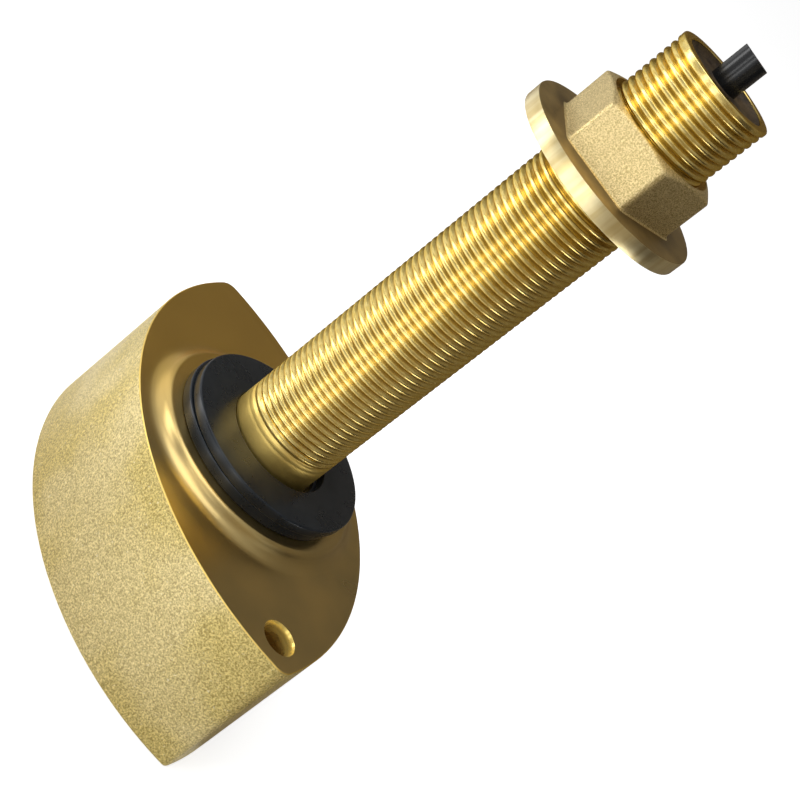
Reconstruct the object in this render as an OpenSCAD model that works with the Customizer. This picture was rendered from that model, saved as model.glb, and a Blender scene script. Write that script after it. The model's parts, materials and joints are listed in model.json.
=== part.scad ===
// Through-hull sonar transducer with a cast lens-shaped housing and a hollow threaded stem.
// Millimetres. +Z runs up the stem, +X towards the tip with the bolt hole.
// The acoustic face stands on z = 0, and the stem axis is the Z axis.

/* [Housing] */
// Overall length, tip to tip
housing_l = 154.4; // [140:0.2:170]
// Overall width across the two arcs
housing_w = 88; // [80:0.5:96]
// Height from the acoustic face to the machined top face
housing_h = 49.4; // [46:0.2:58]
// Radius of the rounded tips
nose_r = 5; // [2:0.5:8]
// Thickness of the side walls
wall_t = 4.5; // [3:0.25:6]
// Thickness of the roof under the top face
roof_t = 6.4; // [5:0.2:8]
// Solid metal between the bolt hole and the cavity
tip_wall_t = 6.5; // [4:0.5:9]

/* [Boss and stem] */
// Height of the raised boss above the top face
boss_h = 3.75; // [2.5:0.05:5]
// Flat land of the boss outside the seal washers
boss_land = 4.4; // [2:0.1:5]
// Radius of the concave fillet round the boss
boss_fillet_r = 7; // [5.5:0.5:9]
// Outside diameter of the stem's one-inch pipe thread
thread_d = 33.25; // [31:0.05:36]
// Pitch of the thread
thread_pitch = 2.309; // [1.8:0.001:3]
// Depth of the thread
thread_depth = 1.3; // [0.8:0.05:1.4]
// Share of each pitch that the crest keeps
thread_crest = 0.3; // [0.1:0.05:0.6]
// Length of the smooth neck between the top face and the thread
neck_l = 17.6; // [13:0.1:25]
// Length of the stem above the top face
stem_l = 175.7; // [165:0.1:200]
// Diameter of the bore through the stem
stem_bore_d = 27.5; // [24:0.5:28]
// Lead-in chamfer on the stem's end
lead_in = 1.4; // [0.5:0.1:2]

/* [Bolt hole] */
// Distance from the tip to the hole's centre
hole_inset = 11.5; // [10:0.5:15]
// Diameter of the blind tapped hole for the anti-rotation bolt
hole_d = 10.2; // [8:0.1:12]
// Depth of the hole
hole_depth = 25; // [15:1:35]
// Chamfer round the hole's mouth
hole_chamfer = 0.6; // [0.2:0.1:1]

/* [Seal washers] */
// Outside diameter of the rubber washers
washer_d = 62.9; // [58:0.1:66]
// Thickness of each washer
washer_t = 3.6; // [2.5:0.1:5]
// Radial gap between the washers and the stem
washer_gap = 1.3; // [0.5:0.1:2]
// Share of that gap by which the upper washer has slid off centre
washer_slip = 0.85; // [0:0.05:0.9]
// Heading of that slip about the stem
slip_heading = 35; // [0:1:360]

/* [Hull nut] */
// Distance from the upper washer to the nut's flange
hull_gap = 123.2; // [100:0.1:130]
// Diameter of the nut's flange
flange_d = 60.3; // [54:0.1:66]
// Thickness of the flange
flange_t = 5.1; // [4:0.1:7]
// Height of the hexagon above the flange
hex_h = 15.6; // [13:0.1:18]
// Wall between the nut's bore and each flat
hex_wall = 2.6; // [2.4:0.1:4]
// Turn of the hexagon about the stem
hex_turn = 42; // [0:1:60]
// Depth of the countersink at each end of the nut's bore
countersink = 1.6; // [0.5:0.1:1.8]
// Drop of the hexagon's top chamfer at its corners
hex_chamfer_drop = 1.4; // [1:0.1:3]
// Blunting of the hexagon's corners
corner_blunt = 0.35; // [0.1:0.05:0.6]
// Edge break on the flange rim
flange_edge = 0.4; // [0.2:0.1:0.8]

/* [Acoustic stack] */
// Thickness of the acoustic window
window_t = 7; // [5:0.5:9]
// Diameter of the high-frequency ceramic disc
disc_d = 44; // [38:0.5:48]
// Thickness of the disc
disc_t = 10; // [8:0.5:11]
// Thickness of the cork backing behind the disc
disc_backing_t = 6; // [4:0.5:7]
// Diameter of each low-frequency ceramic bar
bar_d = 15; // [12:0.5:16]
// Bars in each of the two rows
bars_per_row = 3; // [3]
// Material left between neighbouring element pockets
pocket_wall = 3; // [2:0.25:3.5]
// Thickness of the foam pad behind each bar
bar_backing_t = 3; // [2:0.25:5]
// Web of the carrier between the disc and the transformer
web_t = 2.5; // [2:0.25:4]
// Depth of the sealing compound above the carrier
fill_t = 3; // [2.5:0.1:5]

/* [Electrical parts] */
// Outside diameter of the wound matching transformer
transformer_d = 32; // [28:0.5:34]
// Diameter of the transformer's open centre
transformer_bore_d = 13; // [12:0.5:15]
// Thickness of the winding over the core
winding_t = 1.6; // [1:0.1:2]
// Gap between the winding and the terminal board
winding_gap = 0.3; // [0.2:0.1:0.6]
// Thickness of the terminal board
board_t = 1.6; // [1:0.1:2.4]
// Ledge that the board rests on
board_ledge = 2.5; // [1.5:0.25:3.5]
// Thickness of the wires and strips to the elements
lead_d = 1.4; // [1:0.1:1.6]

/* [Cable] */
// Outside diameter of the cable
cable_d = 9; // [8:0.1:11]
// Thickness of the cable's jacket
jacket_t = 1.25; // [1:0.05:1.4]
// Thickness of the braided shield
shield_t = 0.35; // [0.25:0.05:0.45]
// Diameter of each insulated core
core_d = 2.5; // [2:0.05:2.5]
// Diameter of each core's conductor
conductor_d = 1.2; // [0.8:0.1:1.5]
// Length of cable that stands clear of the stem's end
cable_stub = 9.4; // [6:0.1:20]
// Slope of the cut across the cable's end
cut_slope = 8; // [0:1:35]
// Heading of that slope about the stem
cut_heading = 115; // [0:1:360]
// Depth of the sealing compound's face below the stem's end
potting_drop = 2; // [1:0.1:4]

/* [Clearances] */
// Radial running clearance of the nut on the thread
thread_clearance = 0.07; // [0.02:0.01:0.1]
// Gap between fitted inner pieces
fit_gap = 0.05; // [0.02:0.01:0.1]

/* [Hidden] */
$fn = 96;
bronze = [0.72, 0.58, 0.30];
nut_brass = [0.78, 0.66, 0.40];
rubber = [0.09, 0.10, 0.11];
compound = [0.16, 0.13, 0.10];
urethane = [0.18, 0.18, 0.17];
ceramic = [0.85, 0.80, 0.70];
cork = [0.66, 0.50, 0.33];
foam = [0.75, 0.75, 0.70];
ferrite = [0.25, 0.25, 0.27];
copper = [0.72, 0.42, 0.24];
board_green = [0.16, 0.38, 0.22];
white_wire = [0.90, 0.88, 0.82];
red_wire = [0.70, 0.14, 0.12];

// The side arcs touch the tip rounds: arc radius from the length, width and tip radius
half_l = housing_l / 2;
half_w = housing_w / 2;
nose_x = half_l - nose_r;
arc_r = (half_w * half_w + nose_x * nose_x - nose_r * nose_r) / (2 * (half_w - nose_r));
arc_y = arc_r - half_w;
// The arcs stop just short of where they would touch the tip rounds
arc_end_x = nose_x * arc_r / (arc_r - nose_r) - nose_r / 10;

thread_r = thread_d / 2;
// The grooves end one pitch short of the lead-in
groove_w = (1 - thread_crest) * thread_pitch;
groove_count = floor((stem_l - lead_in - neck_l) / thread_pitch) - 1;
stem_top = housing_h + stem_l;
boss_top = housing_h + boss_h;
washer_r = washer_d / 2;
boss_r = washer_r + boss_land;
// The fillet's circle dips this far under the top face, so that it meets it at a slight angle
fillet_dip = 0.05;
fillet_x = boss_r + sqrt(pow(boss_fillet_r, 2) - pow(boss_fillet_r - fillet_dip - boss_h, 2));
hole_x = half_l - hole_inset;
hole_r = hole_d / 2;

// Heights of the stack inside the cavity, from the acoustic face upwards
cavity_half_l = hole_x - hole_r - tip_wall_t;
cavity_top = housing_h - roof_t;
carrier_top = cavity_top - fill_t;
board_drop = 1.4;
board_z = carrier_top - board_drop - board_t;
disc_back_z = window_t + disc_t;
disc_pocket_top = disc_back_z + disc_backing_t;
web_top = disc_pocket_top + web_t;
bar_h = carrier_top - window_t - bar_backing_t;
bar_r = bar_d / 2;
disc_r = disc_d / 2;
transformer_r = transformer_d / 2;
board_r = transformer_r + board_ledge;
bar_x = max(disc_r, board_r) + pocket_wall + bar_r;
bar_pitch = bar_d + pocket_wall;
bar_count = 2 * bars_per_row;
lead_r = lead_d / 2;
lead_y = lead_d;
// The bars' strips run half way up the sealing compound, and land near the board's rim
lead_run_z = carrier_top + fill_t / 2;
lead_land_r = board_r - 2 * lead_d;
lead_hole_r = lead_y + lead_r + lead_d;

washer_bore_r = thread_r + washer_gap;
flange_z = boss_top + 2 * washer_t + hull_gap;
hex_z = flange_z + flange_t;
nut_top = hex_z + hex_h;
nut_bore_r = thread_r + thread_clearance;
hex_flat = nut_bore_r + hex_wall;
hex_corner = hex_flat / cos(30);
corner_r = hex_corner - corner_blunt;

potting_face = stem_top - potting_drop;
cable_r = cable_d / 2;
shield_r = cable_r - jacket_t - fit_gap;
core_space_r = shield_r - shield_t;
core_r = core_d / 2;
core_y = core_r + fit_gap;
core_pair_r = core_y + core_r + fit_gap;
conductor_r = conductor_d / 2;
jacket_start = cavity_top + jacket_t;
cable_top = stem_top + cable_stub;

// Two arcs that meet in rounded tips
module lens_outline() {
    intersection() {
        translate([0, -arc_y]) circle(arc_r);
        translate([0, arc_y]) circle(arc_r);
        square([2 * arc_end_x, housing_w], center = true);
    }
    for (side = [-1, 1]) translate([side * nose_x, 0]) circle(nose_r);
}

// The same arcs drawn in by the wall, cut square before the solid tips
module cavity_outline(gap = 0) {
    intersection() {
        translate([0, -arc_y]) circle(arc_r - wall_t - gap);
        translate([0, arc_y]) circle(arc_r - wall_t - gap);
        square([2 * (cavity_half_l - gap), housing_w], center = true);
    }
}

// Boss, with the concave sweep from its rim down to the top face
module boss() {
    translate([0, 0, housing_h]) rotate_extrude() difference() {
        translate([0, -fillet_dip]) square([fillet_x, boss_h + fillet_dip]);
        translate([fillet_x, boss_fillet_r - fillet_dip]) circle(boss_fillet_r);
    }
}

// Stem: a smooth neck, the thread as rings of V grooves, and a plain end with its lead-in
module stem() {
    grooves = [
        for (i = [0 : groove_count - 1])
        for (corner = [[0, 0], [thread_depth, groove_w / 2], [0, groove_w]])
        [thread_r - corner[0], neck_l + i * thread_pitch + corner[1]]
    ];
    translate([0, 0, housing_h]) rotate_extrude() polygon(concat(
        [[0, 0], [thread_r, 0]],
        grooves,
        [[thread_r, stem_l - lead_in], [thread_r - lead_in, stem_l], [0, stem_l]]
    ));
}

// Blind hole with a chamfered mouth, sunk from the top face
module bolt_hole() {
    translate([hole_x, 0, housing_h - hole_depth]) cylinder(h = hole_depth + 1, r = hole_r);
    translate([hole_x, 0, housing_h - hole_chamfer])
        cylinder(h = 2 * hole_chamfer, r1 = hole_r, r2 = hole_r + 2 * hole_chamfer);
}

module housing() {
    color(bronze) difference() {
        union() {
            linear_extrude(housing_h) lens_outline();
            boss();
            stem();
        }
        translate([0, 0, -1]) linear_extrude(cavity_top + 1) cavity_outline();
        translate([0, 0, cavity_top - 1]) cylinder(h = stem_top, d = stem_bore_d);
        bolt_hole();
    }
}

module acoustic_window() {
    color(urethane) linear_extrude(window_t) cavity_outline(fit_gap);
}

// Places of the bars: two rows across the housing, one on each side of the disc
function bar_place(i) = [
    (i <= bars_per_row ? 1 : -1) * bar_x,
    ((i - 1) % bars_per_row - (bars_per_row - 1) / 2) * bar_pitch
];

// Cork composite block with a pocket for each element and one for the transformer
module element_carrier() {
    color(cork) difference() {
        translate([0, 0, window_t]) linear_extrude(carrier_top - window_t) cavity_outline(fit_gap);
        translate([0, 0, window_t - 1]) cylinder(h = disc_pocket_top - window_t + 1, r = disc_r + fit_gap);
        translate([0, 0, web_top]) cylinder(h = carrier_top, r = transformer_r + fit_gap);
        translate([0, 0, board_z]) cylinder(h = carrier_top, r = board_r + fit_gap);
        translate([0, 0, window_t]) cylinder(h = carrier_top, r = lead_hole_r);
        for (i = [1 : bar_count]) translate([each bar_place(i), window_t - 1])
            cylinder(h = carrier_top, r = bar_r + fit_gap);
    }
}

module disc_element() {
    color(ceramic) translate([0, 0, window_t]) cylinder(h = disc_t, r = disc_r);
}

module disc_backing() {
    color(cork) translate([0, 0, disc_back_z]) difference() {
        cylinder(h = disc_backing_t, r = disc_r);
        translate([0, 0, -1]) cylinder(h = disc_backing_t + 2, r = lead_hole_r);
    }
}

module bar_element(i) {
    color(ceramic) translate([each bar_place(i), window_t]) cylinder(h = bar_h, r = bar_r);
}

module bar_backing(i) {
    color(foam) translate([each bar_place(i), window_t + bar_h]) difference() {
        cylinder(h = bar_backing_t, r = bar_r);
        translate([0, 0, -1]) cylinder(h = bar_backing_t + 2, r = lead_d);
    }
}

// Turns its children from +X to the heading of a bar
module towards_bar(i) {
    place = bar_place(i);
    rotate([0, 0, atan2(place[1], place[0])]) children();
}

// Square strip from a bar's back, up through its pad, across and down to the terminal board
module bar_lead(i) {
    span = norm(bar_place(i));
    bar_back = window_t + bar_h;
    board_face = board_z + board_t;
    color(red_wire) towards_bar(i) rotate([90, 0, 0]) linear_extrude(lead_d, center = true) polygon([
        [span + lead_r, bar_back],
        [span + lead_r, lead_run_z + lead_r],
        [lead_land_r - lead_r, lead_run_z + lead_r],
        [lead_land_r - lead_r, board_face],
        [lead_land_r + lead_r, board_face],
        [lead_land_r + lead_r, lead_run_z - lead_r],
        [span - lead_r, lead_run_z - lead_r],
        [span - lead_r, bar_back]
    ]);
}

// Slot in the sealing compound for that strip
module lead_slot(i) {
    slot_w = lead_d + 2 * fit_gap;
    towards_bar(i) translate([lead_land_r - slot_w / 2, -slot_w / 2, board_z])
        cube([norm(bar_place(i)) - lead_land_r + slot_w, slot_w, housing_h]);
}

// Ring core, wound all over with wire
module ring_section(inset) {
    height = board_z - winding_gap - web_top;
    translate([transformer_bore_d / 2 + inset, web_top + inset])
        square([transformer_r - transformer_bore_d / 2 - 2 * inset, height - 2 * inset]);
}

module transformer_core() {
    color(ferrite) rotate_extrude() ring_section(winding_t + fit_gap);
}

module transformer_winding() {
    color(copper) rotate_extrude() difference() {
        ring_section(0);
        ring_section(winding_t);
    }
}

module terminal_board() {
    color(board_green) translate([0, 0, board_z]) cylinder(h = board_t, r = board_r);
}

// Wires from the board down through the transformer's centre to the disc
module disc_lead(side) {
    translate([0, side * lead_y, disc_back_z]) cylinder(h = board_z - disc_back_z, r = lead_r);
}

module signal_lead() {
    color(red_wire) disc_lead(1);
}

module return_lead() {
    color(white_wire) disc_lead(-1);
}

// Compound over the carrier, moulded round the wires
module cavity_potting() {
    color(compound) difference() {
        union() {
            translate([0, 0, carrier_top]) linear_extrude(fill_t - fit_gap) cavity_outline(fit_gap);
            translate([0, 0, board_z + board_t]) cylinder(h = board_drop + fill_t / 2, r = board_r);
        }
        for (i = [1 : bar_count]) lead_slot(i);
        translate([0, 0, board_z]) cylinder(h = housing_h, r = core_pair_r);
    }
}

// One layer of the cable, straight up the stem and cut across its end
module cable_layer(r_out, r_in, start, y = 0) {
    difference() {
        translate([0, y, start]) linear_extrude(cable_top + cable_d - start) difference() {
            circle(r_out);
            if (r_in > 0) circle(r_in);
        }
        cable_cut();
    }
}

// Everything beyond the sloping cut
module cable_cut() {
    cut_w = 4 * cable_d;
    translate([0, 0, cable_top]) rotate([0, 0, cut_heading]) rotate([0, cut_slope, 0])
        translate([-cut_w / 2, -cut_w / 2, 0]) cube(cut_w);
}

module stem_potting() {
    color(compound) difference() {
        translate([0, 0, cavity_top]) cylinder(h = potting_face - cavity_top, r = stem_bore_d / 2 - fit_gap);
        translate([0, 0, jacket_start]) cylinder(h = stem_top, r = cable_r + fit_gap);
        translate([0, 0, cavity_top - 1]) cylinder(h = stem_top, r = core_pair_r);
    }
}

module cable_jacket() {
    color(rubber) cable_layer(cable_r, cable_r - jacket_t, jacket_start);
}

module cable_shield() {
    color(copper) cable_layer(shield_r, core_space_r, jacket_start);
}

module core_insulation_1() {
    color(red_wire) cable_layer(core_r, conductor_r, board_z + board_t, core_y);
}

module core_insulation_2() {
    color(white_wire) cable_layer(core_r, conductor_r, board_z + board_t, -core_y);
}

module conductor_1() {
    color(copper) cable_layer(conductor_r - fit_gap, 0, board_z + board_t, core_y);
}

module conductor_2() {
    color(copper) cable_layer(conductor_r - fit_gap, 0, board_z + board_t, -core_y);
}

module seal_washer(z) {
    translate([0, 0, z]) difference() {
        cylinder(h = washer_t, r = washer_r);
        translate([0, 0, -1]) cylinder(h = washer_t + 2, r = washer_bore_r);
    }
}

module lower_seal_washer() {
    color(rubber) seal_washer(boss_top);
}

module upper_seal_washer() {
    color(rubber) rotate(slip_heading) translate([washer_slip * washer_gap, 0, 0])
        seal_washer(boss_top + washer_t);
}

// Hexagon under a shallow cone that trims its top corners
module nut_hexagon() {
    intersection() {
        translate([0, 0, flange_z]) rotate([0, 0, hex_turn])
            cylinder(h = flange_t + hex_h, r = hex_corner, $fn = 6);
        rotate_extrude() polygon([
            [0, flange_z],
            [corner_r, flange_z],
            [corner_r, nut_top - hex_chamfer_drop],
            [hex_flat - countersink / 2, nut_top],
            [0, nut_top]
        ]);
    }
}

module nut_flange() {
    flange_r = flange_d / 2;
    rotate_extrude() polygon([
        [0, flange_z],
        [flange_r - flange_edge, flange_z],
        [flange_r, flange_z + flange_edge],
        [flange_r, hex_z - flange_edge],
        [flange_r - flange_edge, hex_z],
        [0, hex_z]
    ]);
}

// Bore with a countersink at each end
module nut_bore() {
    rotate_extrude() polygon([
        [0, flange_z - 1],
        [nut_bore_r + countersink + 1, flange_z - 1],
        [nut_bore_r, flange_z + countersink],
        [nut_bore_r, nut_top - countersink],
        [nut_bore_r + countersink + 1, nut_top + 1],
        [0, nut_top + 1]
    ]);
}

module hull_nut() {
    color(nut_brass) difference() {
        union() {
            nut_flange();
            nut_hexagon();
        }
        nut_bore();
    }
}

housing();
acoustic_window();
element_carrier();
disc_element();
disc_backing();
for (i = [1 : bar_count]) {
    bar_element(i);
    bar_backing(i);
    bar_lead(i);
}
transformer_core();
transformer_winding();
terminal_board();
signal_lead();
return_lead();
cavity_potting();
stem_potting();
cable_jacket();
cable_shield();
core_insulation_1();
core_insulation_2();
conductor_1();
conductor_2();
lower_seal_washer();
upper_seal_washer();
hull_nut();
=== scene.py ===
# %% [markdown]
# # A through-hull sonar transducer
# The object is a lens-shaped bronze casting with a hollow threaded stem. Two rubber washers lie on its boss, a
# flanged hex nut runs on the thread, and a cable leaves the end of the stem. The solids come in as a fixed
# frame. This lesson dresses them: it remodels the pieces whose surface the solids leave plain, such as the
# thread, and gives every piece a finish.

# %% Load the frame
import json
from math import atan2, ceil, cos, degrees, floor, pi, radians, sin, sqrt, tan

import bmesh
import bpy
from mathutils import Matrix, Vector


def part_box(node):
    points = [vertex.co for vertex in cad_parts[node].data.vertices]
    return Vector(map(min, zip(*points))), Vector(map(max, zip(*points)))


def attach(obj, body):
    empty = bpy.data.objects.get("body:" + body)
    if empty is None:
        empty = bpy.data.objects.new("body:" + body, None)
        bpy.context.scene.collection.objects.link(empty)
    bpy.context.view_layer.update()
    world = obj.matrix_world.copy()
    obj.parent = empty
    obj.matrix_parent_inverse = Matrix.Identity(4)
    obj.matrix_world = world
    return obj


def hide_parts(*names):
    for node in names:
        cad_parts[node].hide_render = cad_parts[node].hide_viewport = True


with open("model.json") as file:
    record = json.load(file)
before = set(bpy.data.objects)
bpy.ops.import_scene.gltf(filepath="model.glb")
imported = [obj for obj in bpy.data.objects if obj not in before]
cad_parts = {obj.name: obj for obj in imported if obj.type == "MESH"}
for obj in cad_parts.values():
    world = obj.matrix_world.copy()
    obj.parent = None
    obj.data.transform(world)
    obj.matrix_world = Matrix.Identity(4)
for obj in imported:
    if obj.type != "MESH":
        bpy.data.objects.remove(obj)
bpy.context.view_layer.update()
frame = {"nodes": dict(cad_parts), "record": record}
MM = 0.001
print("nodes in the frame:", len(frame["nodes"]))

# %% [markdown]
# ## Camera
# A photograph fixes the eye, the aim, the roll and the lens. Here the stem points to the upper right of the
# picture although the part stands upright. The part could be tipped over, but the frame is fixed, so the camera
# is rolled instead. A track quaternion turns it to its aim, and a turn about the view axis adds the roll.

# %% Camera
EYE = Vector((0.31451, -0.26832, 0.28990))
AIM = Vector((-0.00453, 0.02174, 0.09064))
CAMERA_ROLL = radians(52.3)
PICTURE_PIXELS = 800
FOCAL_PIXELS = 1591.4
SENSOR_MM = 36.0
NEAR_CLIP = 0.01


def add_object(name, data):
    """Puts an object with this data into the scene."""
    made = bpy.data.objects.new(name, data)
    bpy.context.scene.collection.objects.link(made)
    return made


def turned_to(place, aim):
    """Matrix of a camera or lamp at a place, looking at its aim."""
    return Matrix.Translation(place) @ (aim - place).to_track_quat("-Z", "Y").to_matrix().to_4x4()


camera_data = bpy.data.cameras.new("photo_camera")
camera_data.sensor_width = SENSOR_MM
camera_data.lens = FOCAL_PIXELS * SENSOR_MM / PICTURE_PIXELS
camera_data.clip_start = NEAR_CLIP
camera = add_object("photo_camera", camera_data)
camera.matrix_world = turned_to(EYE, AIM) @ Matrix.Rotation(CAMERA_ROLL, 4, "Z")
bpy.context.scene.camera = camera
bpy.context.scene.view_settings.view_transform = "Standard"
print("lens", round(camera_data.lens, 2), "mm")

# %% [markdown]
# ## Shader expressions
# Node graphs are easier to read as formulas. `Field` wraps one output socket and turns + and * into Math nodes.
# `Finish` owns a material, and its one method `node` adds any other node: settings first, then the values or
# links of its sockets. Its other methods are the few patterns that every finish below is made of.

# %% Fields


class Field:
    """One output socket of a shader graph."""

    def __init__(self, finish, socket):
        self.finish = finish
        self.socket = socket

    def math(self, operation, first, second):
        return self.finish.node("ShaderNodeMath", {"operation": operation}, {0: first, 1: second})

    def __add__(self, other):
        return self.math("ADD", self, other)

    def __radd__(self, other):
        return self.math("ADD", other, self)

    def __mul__(self, other):
        return self.math("MULTIPLY", self, other)

    def __rmul__(self, other):
        return self.math("MULTIPLY", other, self)


def rgb(red, green, blue):
    return (red, green, blue, 1.0)


# %% Finishes
# A Mix node has sockets for every kind of data under the same names, so those for colours go by number.
COLOUR_A, COLOUR_B, COLOUR_OUT = 6, 7, 2


class Finish:
    """A material under construction, with its Principled shader."""

    def __init__(self, name, **constants):
        self.material = bpy.data.materials.new(name)
        self.material.use_nodes = True
        self.tree = self.material.node_tree
        self.shader = self.tree.nodes["Principled BSDF"]
        for key, value in constants.items():
            socket = key.replace("_", " ").title().replace("Ior", "IOR")
            self.shader.inputs[socket].default_value = value
        self.place = self.node("ShaderNodeTexCoord", out="Object")

    def node(self, kind, settings=None, inputs=None, out=0):
        made = self.tree.nodes.new(kind)
        for name, value in (settings or {}).items():
            setattr(made, name, value)
        for socket, value in (inputs or {}).items():
            self.feed(made.inputs[socket], value)
        return Field(self, made.outputs[out])

    def feed(self, socket, value):
        if isinstance(value, Field):
            self.tree.links.new(value.socket, socket)
        else:
            socket.default_value = value

    def drive(self, socket, value):
        self.feed(self.shader.inputs[socket], value)

    def noise(self, size_mm, detail=2.0, stretch=(1, 1, 1), roughness=0.5):
        """Noise whose lumps are about size_mm across, from 0 to 1."""
        scaled = self.node("ShaderNodeMapping", {}, {"Vector": self.place, "Scale": stretch})
        return self.node("ShaderNodeTexNoise", {}, {
            "Vector": scaled, "Scale": 1 / (size_mm * MM), "Detail": detail, "Roughness": roughness})

    def between(self, field, low, high):
        """Field as a smooth mask: 0 at low, 1 at high."""
        return self.node("ShaderNodeMapRange", {"interpolation_type": "SMOOTHSTEP"},
                         {"Value": field, "From Min": low, "From Max": high})

    def blend(self, mask, first, second):
        """Colour that goes from first to second with the mask."""
        return self.node("ShaderNodeMix", {"data_type": "RGBA"},
                         {"Factor": mask, COLOUR_A: first, COLOUR_B: second}, out=COLOUR_OUT)

    def bump(self, height, depth_mm):
        """Feeds the Normal with a relief whose height field spans depth_mm."""
        relief = self.node("ShaderNodeBump", {}, {"Height": height, "Distance": depth_mm * MM})
        self.drive("Normal", relief)

    def axis(self, letter):
        """One Object coordinate in metres."""
        return self.node("ShaderNodeSeparateXYZ", {}, {0: self.place}, out=letter)

    def radius(self):
        """Distance from the stem axis in metres."""
        flat = self.node("ShaderNodeVectorMath", {"operation": "MULTIPLY"}, {0: self.place, 1: (1, 1, 0)})
        return self.node("ShaderNodeVectorMath", {"operation": "LENGTH"}, {0: flat}, out="Value")


# %% [markdown]
# ## Cast bronze
# The side walls keep the skin of the sand mould: matt and grainy. Tiny bright points on it are painted glints,
# and broad paler patches are painted sheen. The grain could be sculpted, but it is finer than a mesh can carry.
# Noise makes it in the finish: the same grain drives relief and colour, so high spots are also light ones.

# %% Cast skin
cast_skin = Finish("cast_skin", metallic=1.0)
grain = cast_skin.noise(size_mm=0.58, detail=3.0, roughness=0.65)
lumps = cast_skin.noise(size_mm=1.2)
points = cast_skin.noise(size_mm=0.9, detail=1.0)
# Painted sheen: broad paler patches that stand in for light lying on the walls.
sheen_noise = cast_skin.noise(size_mm=31.0)
high_grains = cast_skin.between(grain, low=0.30, high=0.72)
cast_tone = cast_skin.blend(high_grains, rgb(0.32, 0.240, 0.072), rgb(0.85, 0.695, 0.275))
sheen_tone = cast_skin.blend(high_grains, rgb(0.42, 0.332, 0.148), rgb(0.92, 0.785, 0.42))
painted_sheen_mask = 0.85 * cast_skin.between(sheen_noise, low=0.40, high=0.62)
sheen_patched_tone = cast_skin.blend(painted_sheen_mask, cast_tone, sheen_tone)
# Painted glints: sparse pale specks that stand in for highlights on the grain.
glint_mask = 0.5 * cast_skin.between(points, low=0.67, high=0.80)
cast_skin.drive("Base Color", cast_skin.blend(glint_mask, sheen_patched_tone, rgb(0.95, 0.88, 0.62)))
cast_skin.drive("Roughness", 0.32 + 0.2 * grain)
cast_skin.bump(grain * 0.8 + lumps * 0.6, depth_mm=0.42)
print("made", cast_skin.material.name)

# %% [markdown]
# ## Machined top
# The top face and the boss were turned in a lathe, so fine rings run round the stem axis, and the metal has dulled
# to a brown satin that gets warmer towards the far tip. A Wave texture could draw the rings, but a sine of the
# radius is just as short and keeps them centred on the stem. Noise added to its phase breaks them up.

# %% Turned face
RING_PITCH_MM = 1.1
RING_WANDER = 3.0
TINT_START, TINT_FULL = 24.0 * MM, -16.0 * MM
TINT_WANDER = 20.0 * MM

turned_face = Finish("turned_face", metallic=1.0)
wander = turned_face.noise(size_mm=6.0) * RING_WANDER
ring_phase = turned_face.radius() * (2 * pi / (RING_PITCH_MM * MM)) + wander
rings = turned_face.node("ShaderNodeMath", {"operation": "SINE"}, {0: ring_phase})
handling = turned_face.noise(size_mm=24.0)
handled_mask = turned_face.between(handling, low=0.2, high=0.8)
face_tone = turned_face.blend(handled_mask, rgb(0.55, 0.42, 0.18), rgb(0.72, 0.52, 0.20))
tint_mask = turned_face.between(turned_face.axis("X") + TINT_WANDER * handling, TINT_START, TINT_FULL)
turned_face.drive("Base Color", turned_face.blend(tint_mask, face_tone, rgb(0.87, 0.57, 0.14)))
turned_face.drive("Roughness", 0.24 + 0.12 * handling)
turned_face.bump(rings, depth_mm=0.0015)
print("made", turned_face.material.name)

# %% [markdown]
# ## Polished stem
# The stem is bright yellow metal. Light and dark painted on would stay behind when the light moves, so most of
# them come from what the metal reflects. The finish adds faint streaks along the thread, and painted shade in the
# roots: a darker tone, found by the distance from the axis. The plain neck is yellower and more satin.

# %% Bright thread
THREAD_R = 16.625 * MM
THREAD_DEPTH = 0.86 * MM
ROOT_SHADE_SHARE = 0.45
NECK_END = 71.0 * MM
NECK_FADE = 5.0 * MM

bright_thread = Finish("bright_thread", metallic=1.0, specular_tint=rgb(0.84, 0.66, 0.34))
# Painted shade: the roots of the thread are darkened by their distance from the axis.
root_shade_end = THREAD_R - ROOT_SHADE_SHARE * THREAD_DEPTH
crest_mask = bright_thread.between(bright_thread.radius(), THREAD_R - THREAD_DEPTH, root_shade_end)
streak = bright_thread.noise(size_mm=1.6, stretch=(1, 1, 3))
streak_mask = bright_thread.between(streak, low=0.3, high=0.7)
crest_tone = bright_thread.blend(streak_mask, rgb(0.81, 0.60, 0.18), rgb(0.91, 0.73, 0.29))
root_shaded_tone = bright_thread.blend(crest_mask, rgb(0.60, 0.45, 0.155), crest_tone)
neck_mask = bright_thread.between(bright_thread.axis("Z"), NECK_END, NECK_END - NECK_FADE)
bright_thread.drive("Base Color", bright_thread.blend(neck_mask, root_shaded_tone, rgb(0.93, 0.69, 0.21)))
bright_thread.drive("Roughness", 0.18 + 0.12 * streak + 0.24 * neck_mask)
bright_thread.bump(streak, depth_mm=0.010)
print("made", bright_thread.material.name)

# %% [markdown]
# ## Bolt hole
# The drilled wall of the bolt hole has painted light: bright gold at its mouth, falling off to painted brown shade
# lower down. Reflections inside a hole need many bounces of light, so this painted mask by height stands in for
# them.

# %% Hole gold
HOLE_SHADED_BELOW, HOLE_LIT_ABOVE = 45.0 * MM, 50.0 * MM
HOLE_NOISE_RISE = 4.0 * MM

hole_gold = Finish("hole_gold", metallic=0.6)
hole_noise = hole_gold.noise(size_mm=3.0)
# Painted light and shade: bright gold near the mouth, brown lower in the hole.
painted_mouth_light_mask = hole_gold.between(hole_gold.axis("Z") + HOLE_NOISE_RISE * hole_noise, HOLE_SHADED_BELOW, HOLE_LIT_ABOVE)
hole_gold.drive("Base Color", hole_gold.blend(painted_mouth_light_mask, rgb(0.40, 0.22, 0.04), rgb(0.98, 0.74, 0.20)))
hole_gold.drive("Roughness", 0.22 + 0.12 * hole_noise)
print("made", hole_gold.material.name)
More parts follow.
